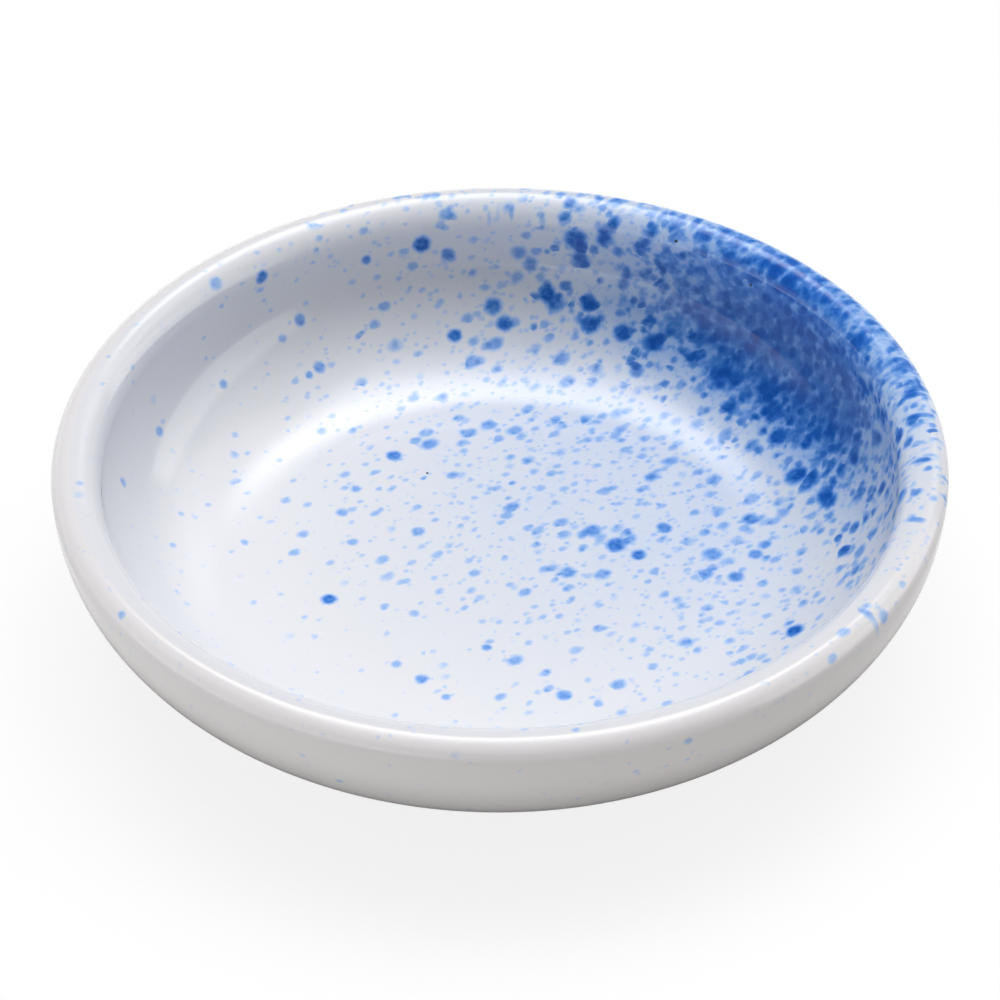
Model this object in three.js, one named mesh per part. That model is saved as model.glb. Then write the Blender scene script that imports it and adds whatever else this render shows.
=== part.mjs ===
// A shallow round dish of glazed ceramic: a turned clay body that stands on a bare foot ring, with one
// coat of white glaze in the well, one on the outside wall and one inside the foot ring.
// Millimetres, +Z up. The origin is the centre of the circle that the foot ring stands on.
import * as THREE from "three";

// Overall sizes, over the glaze.
const RIM_DIAMETER = 130;
const HEIGHT = 30;

// The rolled lip: one radius from the crest to the outside wall, another from the crest into the well.
const LIP_OUTER_RADIUS = 2.8;
const LIP_INNER_RADIUS = 4.3;

// The well: the flat middle of its floor, and the thickness from there to the foot recess.
const FLOOR_DIAMETER = 72;
const FLOOR_THICKNESS = 4;

// The foot ring, over the glaze on its two sides.
const FOOT_DIAMETER = 64;
const FOOT_WIDTH = 4.8;
const FOOT_HEIGHT = 2.6;
const FOOT_FILLET = 0.8;
const RECESS_DEPTH = 3;

// The bare bearing edge of the ring: how far up the glaze is wiped off, and the roundness of the clay.
const BARE_HEIGHT = 0.9;
const BEARING_EDGE_RADIUS = 0.6;

// The glaze coats, and the hairline that keeps each coat apart from the clay and from the next coat.
const GLAZE_THICKNESS = 0.45;
const BOND_GAP = 0.05;

// Facets: how many around the dish, and how many along each curve of a profile.
const TURN_SEGMENTS = 64;
const WALL_STEPS = 9;
const LIP_STEPS = 4;
const EDGE_STEPS = 2;

const GLAZE_COLOUR = 0xecebef;
const CLAY_COLOUR = 0xd9d2c6;

const QUARTER = Math.PI / 2;

// Radii and heights that the profiles share.
const rimRadius = RIM_DIAMETER / 2;
const crestRadius = rimRadius - LIP_OUTER_RADIUS;
const widestHeight = HEIGHT - LIP_OUTER_RADIUS;
const lipFootHeight = HEIGHT - LIP_INNER_RADIUS;
const wellMouthRadius = crestRadius - LIP_INNER_RADIUS;
const floorRadius = FLOOR_DIAMETER / 2;
const floorHeight = RECESS_DEPTH + FLOOR_THICKNESS;
const footOuterRadius = FOOT_DIAMETER / 2;
const footInnerRadius = footOuterRadius - FOOT_WIDTH;
const clayInset = GLAZE_THICKNESS + BOND_GAP;

// Points along an upright ellipse from one angle to another. Angles run from the outward direction
// towards the crest, so a falling angle follows the curve the other way.
function arc(centreRadius, centreHeight, radial, upright, from, to, steps) {
  const curve = new THREE.EllipseCurve(centreRadius, centreHeight, radial, upright, from, to, to < from);
  return curve.getPoints(steps);
}

// The outside, from the side of the foot ring up to the crest of the lip. An inset moves the whole line
// into the material: none for the glazed surface, more for the back of the coat and for the clay.
function outsideLine(inset, startHeight, crestGap) {
  const bellyCentre = footOuterRadius + FOOT_FILLET;
  const bellyReach = rimRadius - bellyCentre - inset;
  const bellyDrop = widestHeight - FOOT_HEIGHT - inset;
  const hollow = FOOT_FILLET + inset;
  const lip = LIP_OUTER_RADIUS - inset;
  const lipEnd = QUARTER - crestGap / LIP_OUTER_RADIUS;
  return [
    new THREE.Vector2(footOuterRadius - inset, startHeight),
    ...arc(bellyCentre, FOOT_HEIGHT - FOOT_FILLET, hollow, hollow, 2 * QUARTER, QUARTER, EDGE_STEPS),
    ...arc(bellyCentre, widestHeight, bellyReach, bellyDrop, -QUARTER, 0, WALL_STEPS).slice(1),
    ...arc(crestRadius, widestHeight, lip, lip, 0, lipEnd, LIP_STEPS).slice(1),
  ];
}

// The inside, from the crest of the lip down to the middle of the well.
function wellLine(inset) {
  const lip = LIP_INNER_RADIUS - inset;
  const wallReach = wellMouthRadius - floorRadius + inset;
  const wallDrop = lipFootHeight - floorHeight + inset;
  return [
    ...arc(crestRadius, lipFootHeight, lip, lip, QUARTER, 2 * QUARTER, LIP_STEPS),
    ...arc(floorRadius, lipFootHeight, wallReach, wallDrop, 0, -QUARTER, WALL_STEPS).slice(1),
    new THREE.Vector2(0, floorHeight - inset),
  ];
}

// The underside inside the foot ring, from the middle out to the ring's inner side.
function recessLine(inset, endHeight) {
  const hollowCentre = footInnerRadius - FOOT_FILLET;
  const hollow = FOOT_FILLET + inset;
  return [
    new THREE.Vector2(0, RECESS_DEPTH + inset),
    ...arc(hollowCentre, RECESS_DEPTH - FOOT_FILLET, hollow, hollow, QUARTER, 0, EDGE_STEPS),
    new THREE.Vector2(footInnerRadius + inset, endHeight),
  ];
}

// The bare bearing face with its two rounded edges, from the ring's inner side to its outer side.
function bearingLine() {
  const edge = BEARING_EDGE_RADIUS;
  const innerEdge = footInnerRadius + clayInset + edge;
  const outerEdge = footOuterRadius - clayInset - edge;
  return [
    ...arc(innerEdge, edge, edge, edge, 2 * QUARTER, 3 * QUARTER, EDGE_STEPS),
    ...arc(outerEdge, edge, edge, edge, 3 * QUARTER, 4 * QUARTER, EDGE_STEPS),
  ];
}

// Turns a profile round the dish's axis. The profile runs anticlockwise, with the material on its left.
function turned(name, profile, material) {
  const geometry = new THREE.LatheGeometry(profile, TURN_SEGMENTS).rotateX(QUARTER);
  const mesh = new THREE.Mesh(geometry, material);
  mesh.name = name;
  return mesh;
}

function glazeMaterial() {
  return new THREE.MeshStandardMaterial({ color: GLAZE_COLOUR, roughness: 0.12, metalness: 0 });
}

function clayMaterial() {
  return new THREE.MeshStandardMaterial({ color: CLAY_COLOUR, roughness: 0.85, metalness: 0 });
}

// The clay under the glaze. The sides of its foot ring start where the bearing edges end.
function clayBody() {
  const underside = recessLine(clayInset, BEARING_EDGE_RADIUS).slice(0, -1);
  const outside = outsideLine(clayInset, BEARING_EDGE_RADIUS, 0).slice(1);
  const profile = [...underside, ...bearingLine(), ...outside, ...wellLine(clayInset).slice(1)];
  return turned("clay_body", profile, clayMaterial());
}

// The coat in the well: its back on the clay, then its glazed face from the crest to the middle.
function wellGlaze() {
  const profile = [...wellLine(GLAZE_THICKNESS).reverse(), ...wellLine(0)];
  return turned("well_glaze", profile, glazeMaterial());
}

// The coat on the outside: its glazed face up to the crest, then its back down to the foot ring.
function wallGlaze() {
  const face = outsideLine(0, BARE_HEIGHT, BOND_GAP);
  const back = outsideLine(GLAZE_THICKNESS, BARE_HEIGHT, BOND_GAP).reverse();
  return turned("wall_glaze", [...face, ...back, face[0]], glazeMaterial());
}

// The coat inside the foot ring: its glazed face out to the ring, then its back on the clay.
function footGlaze() {
  const face = recessLine(0, BARE_HEIGHT);
  const back = recessLine(GLAZE_THICKNESS, BARE_HEIGHT).reverse();
  return turned("foot_glaze", [...face, ...back], glazeMaterial());
}

const dish = new THREE.Group();
dish.add(clayBody(), wellGlaze(), wallGlaze(), footGlaze());

export default dish;
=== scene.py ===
"""A shallow round dish of white glazed ceramic with blue spatter, its studio and its camera."""
import logging
import math
from dataclasses import dataclass
from enum import Enum
from typing import Any, Mapping, Sequence, Tuple, Union

import bpy
from mathutils import Color, Euler, Matrix, Vector


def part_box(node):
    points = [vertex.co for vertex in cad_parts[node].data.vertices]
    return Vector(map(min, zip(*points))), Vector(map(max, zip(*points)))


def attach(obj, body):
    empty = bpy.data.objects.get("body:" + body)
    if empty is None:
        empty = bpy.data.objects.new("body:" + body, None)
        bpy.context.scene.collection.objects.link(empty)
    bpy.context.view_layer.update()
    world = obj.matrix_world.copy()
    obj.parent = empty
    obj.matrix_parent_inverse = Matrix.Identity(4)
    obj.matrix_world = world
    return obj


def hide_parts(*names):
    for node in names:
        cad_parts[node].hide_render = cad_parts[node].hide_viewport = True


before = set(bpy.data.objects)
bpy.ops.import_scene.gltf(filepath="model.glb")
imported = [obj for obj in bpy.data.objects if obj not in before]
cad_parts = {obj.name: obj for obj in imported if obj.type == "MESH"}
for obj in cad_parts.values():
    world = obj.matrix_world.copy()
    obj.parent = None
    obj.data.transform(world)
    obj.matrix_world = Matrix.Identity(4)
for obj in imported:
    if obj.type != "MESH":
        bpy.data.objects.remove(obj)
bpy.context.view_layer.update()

BODY = "root"
BAKE_MAP = "OFBake"

MM = 0.001
MM_PER_METRE = 1000.0
QUARTER = math.pi / 2
FULL_LEVEL = 255.0

log = logging.getLogger("dish")

Colour = Tuple[float, float, float, float]
Triple = Tuple[float, float, float]

ORIGIN: Triple = (0.0, 0.0, 0.0)
UPWARD: Triple = (0.0, 0.0, 1.0)
EVENLY: Triple = (1.0, 1.0, 1.0)
WHITE: Colour = (1.0, 1.0, 1.0, 1.0)
NOISE_MEAN = 0.5


class CadNode(Enum):
    """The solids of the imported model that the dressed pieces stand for."""

    CLAY_BODY = "clay_body"
    WELL_GLAZE = "well_glaze"
    WALL_GLAZE = "wall_glaze"
    FOOT_GLAZE = "foot_glaze"


class Slot(Enum):
    """Names of material slots."""

    FIRED_CLAY = "fired_clay"
    SPATTER_GLAZE = "spatter_glaze"
    WHITE_GLAZE = "white_glaze"


class Facing(Enum):
    """Which way the normals of a curved stretch point, seen from the centre of its curve."""

    OUTWARD = 1
    INWARD = -1


def screen_colour(red: int, green: int, blue: int) -> Colour:
    """A colour as a screen shows it, turned into the linear values that shaders use.

    Args:
        red, green, blue: Levels from 0 to 255.

    Returns:
        Linear red, green and blue, with full opacity.
    """
    shown = Color((red / FULL_LEVEL, green / FULL_LEVEL, blue / FULL_LEVEL))
    linear = shown.from_srgb_to_scene_linear()
    return (linear.r, linear.g, linear.b, 1.0)


class Signal:
    """A number that varies over a surface: an output socket whose Python operators add Math nodes."""

    def __init__(self, graph: "Graph", socket: bpy.types.NodeSocket) -> None:
        """Wraps a socket of a graph."""
        self.graph = graph
        self.socket = socket

    def math(self, operation: str, left: "Value", right: "Value") -> "Signal":
        """Adds one Math node.

        Args:
            operation: The Math node's operation.
            left, right: Its two values, either of which may be a plain number.

        Returns:
            The node's result.
        """
        node = self.graph.node("ShaderNodeMath", {"operation": operation}, {0: left, 1: right})
        return Signal(self.graph, node.outputs[0])

    def __add__(self, other: "Value") -> "Signal":
        """This plus another value."""
        return self.math("ADD", self, other)

    def __radd__(self, other: "Value") -> "Signal":
        """A number plus this."""
        return self.math("ADD", other, self)

    def __sub__(self, other: "Value") -> "Signal":
        """This less another value."""
        return self.math("SUBTRACT", self, other)

    def __rsub__(self, other: "Value") -> "Signal":
        """A number less this."""
        return self.math("SUBTRACT", other, self)

    def __mul__(self, other: "Value") -> "Signal":
        """This times another value."""
        return self.math("MULTIPLY", self, other)

    def __rmul__(self, other: "Value") -> "Signal":
        """A number times this."""
        return self.math("MULTIPLY", other, self)

    def __truediv__(self, other: "Value") -> "Signal":
        """This divided by another value."""
        return self.math("DIVIDE", self, other)

    def __rtruediv__(self, other: "Value") -> "Signal":
        """A number divided by this."""
        return self.math("DIVIDE", other, self)

    def __pow__(self, other: "Value") -> "Signal":
        """This to a power."""
        return self.math("POWER", self, other)

    def size(self) -> "Signal":
        """This without its sign."""
        return self.math("ABSOLUTE", self, 0.0)

    def around(self, ahead: "Signal") -> "Signal":
        """The angle to a place that lies this far to the side and so far ahead."""
        return self.math("ARCTAN2", self, ahead)

    def beside(self, ahead: "Signal") -> "Signal":
        """The distance to a place that lies this far to the side and so far ahead."""
        return (self * self + ahead * ahead) ** 0.5

    def at_least(self, other: "Value") -> "Signal":
        """The greater of this and another value."""
        return self.math("MAXIMUM", self, other)

    def ramp(self, low: "Value", high: "Value") -> "Signal":
        """A smooth step from nought where this is at low to one where it is at high.

        Args:
            low, high: The two ends, in either order.

        Returns:
            The step, from 0 to 1.
        """
        settings = {"interpolation_type": "SMOOTHSTEP"}
        inputs = {"Value": self, "From Min": low, "From Max": high}
        return Signal(self.graph, self.graph.node("ShaderNodeMapRange", settings, inputs).outputs[0])


Value = Union[Signal, float]
Input = Union[Signal, bpy.types.NodeSocket, float, Sequence[float]]


class Graph:
    """The nodes of one material or world."""

    def __init__(self, tree: bpy.types.NodeTree) -> None:
        """Starts with an empty node tree."""
        self.tree = tree
        tree.nodes.clear()

    def node(self, kind: str, settings: Mapping[str, Any], inputs: Mapping[Any, Input]) -> bpy.types.Node:
        """Adds any node.

        Args:
            kind: The node's type.
            settings: Its properties, set first. The stops of a ramp are given as "stops".
            inputs: Values or links of its sockets, by name or place.

        Returns:
            The new node.
        """
        made = self.tree.nodes.new(kind)
        for name, setting in settings.items():
            if name == "stops":
                self._set_stops(made.color_ramp, setting)
            else:
                setattr(made, name, setting)
        for name, given in inputs.items():
            socket = given.socket if isinstance(given, Signal) else given
            if isinstance(socket, bpy.types.NodeSocket):
                self.tree.links.new(socket, made.inputs[name])
            else:
                made.inputs[name].default_value = socket
        return made

    @staticmethod
    def _set_stops(ramp: bpy.types.ColorRamp, stops: Sequence[Tuple[float, Colour]]) -> None:
        """Gives a colour ramp its stops.

        Args:
            ramp: The ramp.
            stops: The place and the colour of each stop, from the lowest to the highest.
        """
        while len(ramp.elements) < len(stops):
            ramp.elements.new(1.0)
        for element, (place, colour) in zip(ramp.elements, stops):
            element.position = place
            element.color = colour

    def signal(self, node: bpy.types.Node, output: Union[str, int]) -> Signal:
        """One of a node's outputs as a number."""
        return Signal(self, node.outputs[output])

    def vector(self, operation: str, left: Input, right: Input, *more: Input) -> bpy.types.Node:
        """A Vector Math node."""
        inputs = dict(enumerate((left, right, *more)))
        return self.node("ShaderNodeVectorMath", {"operation": operation}, inputs)

    def parts(self, place: Input) -> Tuple[Signal, Signal, Signal]:
        """The three numbers of a place."""
        split = self.node("ShaderNodeSeparateXYZ", {}, {0: place})
        return self.signal(split, 0), self.signal(split, 1), self.signal(split, 2)

    def millimetres(self) -> bpy.types.NodeSocket:
        """The place on the dish, in millimetres from its origin."""
        place = self.node("ShaderNodeTexCoord", {}, {}).outputs["Object"]
        return self.vector("MULTIPLY", place, (MM_PER_METRE,) * 3).outputs[0]

    def distance(self, place: Input, point: Triple) -> Signal:
        """How far a place is from a fixed point."""
        return self.signal(self.vector("DISTANCE", place, point), "Value")

    def along(self, way: Input, axis: Sequence[float]) -> Signal:
        """How far a direction runs along a fixed axis."""
        return self.signal(self.vector("DOT_PRODUCT", way, axis), "Value")

    def turned(self, place: Input, turn: Euler, scale: Triple, shift: Triple) -> bpy.types.NodeSocket:
        """A place after a stretch, a turn and a shift, in that order."""
        inputs = {"Vector": place, "Location": shift, "Rotation": turn, "Scale": scale}
        return self.node("ShaderNodeMapping", {"vector_type": "POINT"}, inputs).outputs[0]

    def cells(self, place: Input, size: float) -> bpy.types.Node:
        """Space cut into irregular cells round random points, about so many millimetres apart."""
        inputs = {"Vector": place, "Scale": 1.0 / size}
        return self.node("ShaderNodeTexVoronoi", {"voronoi_dimensions": "3D"}, inputs)

    def noise(self, place: Input, grain: float, detail: float = 2.0) -> bpy.types.Node:
        """Smooth noise.

        Args:
            place: Where it is read, in millimetres.
            grain: The size of its lumps, in millimetres.
            detail: How many finer octaves it has.

        Returns:
            The node, with its outputs "Fac" and "Color".
        """
        inputs = {"Vector": place, "Scale": 1.0 / grain, "Detail": detail}
        return self.node("ShaderNodeTexNoise", {"noise_dimensions": "3D"}, inputs)

    def wandering(self, place: Input, grain: float, reach: float) -> bpy.types.NodeSocket:
        """A place moved about by noise, so that what is drawn there has an uneven edge.

        Args:
            place: The place, in millimetres.
            grain: The size of the noise's lumps.
            reach: How far it moves a place, from end to end.

        Returns:
            The moved place.
        """
        lumps = self.noise(place, grain).outputs["Color"]
        centred = self.vector("SUBTRACT", lumps, (NOISE_MEAN,) * 3).outputs[0]
        return self.vector("MULTIPLY_ADD", centred, (reach,) * 3, place).outputs[0]

    def blend(self, share: Value, first: Input, second: Input) -> bpy.types.NodeSocket:
        """A mix of two colours, from the first at nought to the second at one."""
        made = self.node("ShaderNodeMix", {"data_type": "RGBA"}, {0: share, 6: first, 7: second})
        return made.outputs[2]

    def surface(self, colour: Input, roughness: Signal, level: float, relief: Input, depth: float) -> None:
        """Ends the graph in a surface with a fine relief.

        Args:
            colour: Its colour.
            roughness: How matt it is.
            level: How much it mirrors, where 0.5 is as much as common glass.
            relief: Its relief, from 0 to 1.
            depth: How high the relief stands, in millimetres.
        """
        bump = self.node("ShaderNodeBump", {}, {"Strength": 1.0, "Distance": depth * MM, "Height": relief})
        inputs = {
            "Base Color": colour,
            "Roughness": roughness,
            "Specular IOR Level": level,
            "Normal": bump.outputs[0],
        }
        shader = self.node("ShaderNodeBsdfPrincipled", {}, inputs)
        self.node("ShaderNodeOutputMaterial", {}, {"Surface": shader.outputs[0]})


def new_material(name: str) -> Tuple[bpy.types.Material, Graph]:
    """A material with an empty node tree.

    Args:
        name: The material's name.

    Returns:
        The material and its graph.
    """
    material = bpy.data.materials.new(name)
    material.use_nodes = True
    return material, Graph(material.node_tree)


@dataclass(frozen=True)
class DropGrade:
    """One grade of spatter: drops strewn at random, more of them nearer the middle of the spray.

    Lengths are in millimetres. Drops lie in cells of one size, each holding one drop or none.

    Attributes:
        cell: The size of the cells.
        least_radius, most_radius: The drops' radii.
        palest, deepest: How blue the smallest and the largest drops are.
        thick_within, none_beyond: Every cell holds a drop within the first distance from the middle of the
            spray, and only the stray ones do beyond the second.
        falloff: How quickly the drops thin out between the two.
        stray: The share of cells that hold a drop far from the spray.
    """

    cell: float
    least_radius: float
    most_radius: float
    palest: float
    deepest: float
    thick_within: float
    none_beyond: float
    falloff: float
    stray: float


@dataclass(frozen=True)
class Splash:
    """A single drop at its own place on the dish.

    Attributes:
        along: Distance from the middle of the well, over the surface, in millimetres.
        bearing: Degrees from the dish's right, anticlockwise seen from above.
        across: The drop's diameter, in millimetres.
        depth: How blue it is.
    """

    along: float
    bearing: float
    across: float
    depth: float = 0.75

    def place(self, section: "DishSection") -> Triple:
        """Where its middle lies.

        Args:
            section: The section of the dish.

        Returns:
            The place, in millimetres.
        """
        radius, height = section.over_surface(self.along * MM)
        turn = math.radians(self.bearing)
        flat = radius * MM_PER_METRE
        return (flat * math.cos(turn), flat * math.sin(turn), height * MM_PER_METRE)


@dataclass(frozen=True)
class Gloss:
    """What every coat of glaze has in common. Lengths are in millimetres.

    Attributes:
        level: How much it mirrors, where 0.5 is as much as common glass.
        roughness, roughness_spread, smear_grain: How smooth it is, and how that changes from place to place.
        ripple_grain, ripple_detail, ripple_height: The slow ripple of its surface.
    """

    level: float = 0.32
    roughness: float = 0.05
    roughness_spread: float = 0.03
    smear_grain: float = 9.0
    ripple_grain: float = 7.0
    ripple_detail: float = 1.0
    ripple_height: float = 0.004

    def dress(self, graph: Graph, place: Input, colour: Input) -> None:
        """Ends a graph in a glossy coat.

        Args:
            graph: The material's graph.
            place: The place on the dish, in millimetres.
            colour: The coat's colour.
        """
        smear = graph.signal(graph.noise(place, self.smear_grain), "Fac")
        ripple = graph.noise(place, self.ripple_grain, self.ripple_detail).outputs["Fac"]
        roughness = self.roughness + self.roughness_spread * smear
        graph.surface(colour, roughness, self.level, ripple, self.ripple_height)


@dataclass(frozen=True)
class Spray:
    """How the blue was flicked on to the dish. Lengths are in millimetres.

    Attributes:
        bearing: The side that it came from, in degrees from the dish's right.
        radius, height: Where on that side its middle struck.
        stretch: How much shorter a drop is across the spray than along it.
    """

    bearing: float = 38.0
    radius: float = 57.0
    height: float = 18.5
    stretch: float = 0.75


# Each grade of drops has a grid of its own, turned and shifted by so much against the grid before it.
GRID_TURN = (0.65, 1.07, 0.41)
GRID_SHIFT = (13.7, 29.3, 7.9)


@dataclass(frozen=True)
class SpatterGlaze:
    """White glaze with blue pigment flicked on to it from one side. Lengths are in millimetres.

    Attributes:
        name, gloss, spray: The material's name, its gloss, and how the blue came.
        blues, iron: The colour for each depth of blue, and that of specks of iron in the glaze.
        core: The grades of drops at the middle of the spray, which hugs the wall.
        field: The grades of drops that flew further.
        streak: The grade of drops that were dragged across the lip.
        splashes: The places, radii and depths of single drops.
        specks: The places and radii of the specks of iron.
        crest_radius, lip_height: Where the crest of the lip runs.
        lee: How much further from the spray a place counts for each millimetre that it lies below the lip.
        drop_softness, speck_edge: The fading edge of a drop, as a share of its radius, and of a speck.
        fade: The range of chance over which a drop fades in.
        mottle_grain, mottle_least, mottle_gain: The uneven pigment inside a drop.
        cloud_grain, cloud_least, cloud_gain: The slow changes of the wash and the mist.
        wash_within, wash_beyond, wash_depth: The even blue at the middle of the spray.
        mist_within, mist_beyond, mist_depth: The faint blue that reaches further.
        mist_shape: How much a millimetre counts ahead, to the side and upwards in the mist.
        core_climb: The sum of radius and height along the line round the wall that the core follows.
        core_above, core_below: How much a millimetre of that sum counts above and below the line.
        blot_grain, blot_detail: The size and the finer octaves of blots, in which drops have run together.
        blot_within, blot_beyond: Where the blots start to thin out, and where they are thinnest.
        blot_level_near, blot_level_far: The noise level of a blot's edge at those two distances.
        blot_edge, blot_depth: How far that edge fades, and how blue a blot is.
        edge_grain, edge_reach: The lumps by which the edges of drops wander, and how far.
        streak_drag: How much shorter a millimetre counts across the lip than along it.
        streak_from, streak_full: How far below the crest the streaks begin, and where they are full.
    """

    name: str
    gloss: Gloss
    spray: Spray
    blues: Sequence[Tuple[float, Colour]]
    iron: Colour
    core: Sequence[DropGrade]
    field: Sequence[DropGrade]
    streak: DropGrade
    splashes: Sequence[Tuple[Triple, float, float]]
    specks: Sequence[Tuple[Triple, float]]
    crest_radius: float
    lip_height: float
    lee: float = 0.0
    drop_softness: float = 0.5
    speck_edge: float = 0.08
    fade: float = 0.05
    mottle_grain: float = 0.9
    mottle_least: float = 0.6
    mottle_gain: float = 0.8
    cloud_grain: float = 9.0
    cloud_least: float = 0.6
    cloud_gain: float = 0.8
    wash_within: float = 8.0
    wash_beyond: float = 48.0
    wash_depth: float = 0.42
    mist_within: float = 22.0
    mist_beyond: float = 92.0
    mist_shape: Triple = (1.0, 1.25, 1.0)
    mist_depth: float = 0.09
    core_climb: float = 71.0
    core_above: float = 1.0
    core_below: float = 2.4
    blot_grain: float = 1.8
    blot_detail: float = 3.0
    blot_within: float = 6.0
    blot_beyond: float = 52.0
    blot_level_near: float = 0.42
    blot_level_far: float = 0.8
    blot_edge: float = 0.16
    blot_depth: float = 0.5
    edge_grain: float = 1.3
    edge_reach: float = 0.6
    streak_drag: float = 0.3
    streak_from: float = 4.5
    streak_full: float = 1.5

    def drops(self, graph: Graph, place: Input, reach: Signal, grade: DropGrade) -> Signal:
        """How blue one grade of drops makes the glaze.

        Args:
            graph: The material's graph.
            place: The place on the dish, in the grade's own grid.
            reach: The distance from the middle of the spray.
            grade: The grade.

        Returns:
            The depth of blue, from 0 to 1.
        """
        cells = graph.cells(place, grade.cell)
        chance, size, _ = graph.parts(cells.outputs["Color"])
        closeness = reach.ramp(grade.none_beyond, grade.thick_within) ** grade.falloff
        odds = grade.stray + (1.0 - grade.stray) * closeness
        present = (odds - chance).ramp(0.0, self.fade)
        radius = grade.least_radius + (grade.most_radius - grade.least_radius) * size
        away = graph.signal(cells, "Distance") * grade.cell
        depth = grade.palest + (grade.deepest - grade.palest) * size
        return present * self.disc(away, radius) * depth

    def disc(self, away: Signal, radius: Value) -> Signal:
        """The soft round body of a drop, from the distance to its middle."""
        return away.ramp(radius * (1.0 + self.drop_softness), radius * (1.0 - self.drop_softness))

    def reach(self, graph: Graph, facing: Input, shape: Triple) -> Signal:
        """The distance from the middle of the spray, by its own axes.

        Args:
            graph: The material's graph.
            facing: The place on the dish, turned so that the spray lies ahead.
            shape: How much a millimetre counts ahead, to the side and upwards.

        Returns:
            The distance.
        """
        scaled = graph.vector("MULTIPLY", facing, shape).outputs[0]
        middle = (self.spray.radius * shape[0], 0.0, self.spray.height * shape[2])
        return graph.distance(scaled, middle)

    def by_wall(self, graph: Graph, facing: Input) -> Signal:
        """The distance from the middle of the spray by the way round the wall and the way up it.

        Args:
            graph: The material's graph.
            facing: The place on the dish, turned so that the spray lies ahead.

        Returns:
            The distance, in millimetres round the wall.
        """
        ahead, side, height = graph.parts(facing)
        climb = side.beside(ahead) + height - self.core_climb
        steep = climb.at_least(0.0) * self.core_above + (0.0 - climb).at_least(0.0) * self.core_below
        round_wall = side.around(ahead) * self.spray.radius
        return steep.beside(round_wall)

    def own_grid(self, graph: Graph, place: Input, number: int) -> bpy.types.NodeSocket:
        """A place in the grid of one grade of drops, drawn out by the spray.

        Args:
            graph: The material's graph.
            place: The place on the dish, turned so that the spray lies ahead.
            number: Which grade it is.

        Returns:
            The place in that grid.
        """
        turn = Euler([number * step for step in GRID_TURN])
        shift = (number * GRID_SHIFT[0], number * GRID_SHIFT[1], number * GRID_SHIFT[2])
        return graph.turned(place, turn, (self.spray.stretch, 1.0, 1.0), shift)

    def lip_grid(self, graph: Graph, place: Input) -> bpy.types.NodeSocket:
        """A place by its way round the lip and, drawn out, by its way across it.

        Args:
            graph: The material's graph.
            place: The place on the dish.

        Returns:
            The place in the grid of the streaks.
        """
        right, back, height = graph.parts(place)
        round_lip = back.around(right) * self.crest_radius
        outwards = back.beside(right) * self.streak_drag
        inputs = {0: round_lip, 1: outwards, 2: height * self.streak_drag}
        return graph.node("ShaderNodeCombineXYZ", {}, inputs).outputs[0]

    def veil(self, graph: Graph, place: Input, close: Signal, wide: Signal) -> Signal:
        """How much white the finest spray leaves: a blotted wash at its middle, and mist round it.

        Args:
            graph: The material's graph.
            place: The place on the dish.
            close: The distance from the middle of the spray by the way round and up the wall.
            wide: The distance from it through the air, by the shape of the mist.

        Returns:
            The share of white left, from 0 to 1.
        """
        slow = graph.signal(graph.noise(place, self.cloud_grain), "Fac")
        clouds = self.cloud_least + self.cloud_gain * slow
        wash = close.ramp(self.wash_beyond, self.wash_within) * self.wash_depth * clouds
        mist = wide.ramp(self.mist_beyond, self.mist_within) * self.mist_depth * clouds
        lumps = graph.signal(graph.noise(place, self.blot_grain, self.blot_detail), "Fac")
        thinning = close.ramp(self.blot_within, self.blot_beyond)
        level = self.blot_level_near + (self.blot_level_far - self.blot_level_near) * thinning
        blots = lumps.ramp(level - self.blot_edge, level + self.blot_edge) * self.blot_depth
        return (1.0 - wash) * (1.0 - mist) * (1.0 - blots)

    def material(self) -> bpy.types.Material:
        """The finish as a material.

        Returns:
            The new material.
        """
        material, graph = new_material(self.name)
        place = graph.millimetres()
        below = (self.lip_height - graph.along(place, UPWARD)).at_least(0.0)
        towards = Euler((0.0, 0.0, -math.radians(self.spray.bearing)))
        facing = graph.turned(place, towards, EVENLY, ORIGIN)
        reach = self.reach(graph, facing, EVENLY) + below * self.lee
        close = self.by_wall(graph, facing) + below * self.lee
        wide = self.reach(graph, facing, self.mist_shape) + below * self.lee
        uneven = graph.wandering(place, self.edge_grain, self.edge_reach)
        flung = graph.wandering(facing, self.edge_grain, self.edge_reach)
        mottle = graph.signal(graph.noise(place, self.mottle_grain), "Fac")
        density = self.mottle_least + self.mottle_gain * mottle
        bare = self.veil(graph, place, close, wide)
        spans = [(grade, close) for grade in self.core] + [(grade, reach) for grade in self.field]
        for number, (grade, span) in enumerate(spans):
            drops = self.drops(graph, self.own_grid(graph, flung, number), span, grade)
            bare = bare * (1.0 - drops * density)
        on_lip = below.ramp(self.streak_from, self.streak_full)
        streaks = self.drops(graph, self.lip_grid(graph, uneven), reach, self.streak)
        bare = bare * (1.0 - streaks * on_lip)
        for spot, radius, depth in self.splashes:
            body = self.disc(graph.distance(uneven, spot), radius)
            bare = bare * (1.0 - body * density * depth)
        ramp = graph.node("ShaderNodeValToRGB", {"stops": self.blues}, {"Fac": 1.0 - bare})
        colour = ramp.outputs["Color"]
        for spot, radius in self.specks:
            speck = graph.distance(uneven, spot).ramp(radius + self.speck_edge, radius - self.speck_edge)
            colour = graph.blend(speck, colour, self.iron)
        self.gloss.dress(graph, place, colour)
        return material


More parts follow.
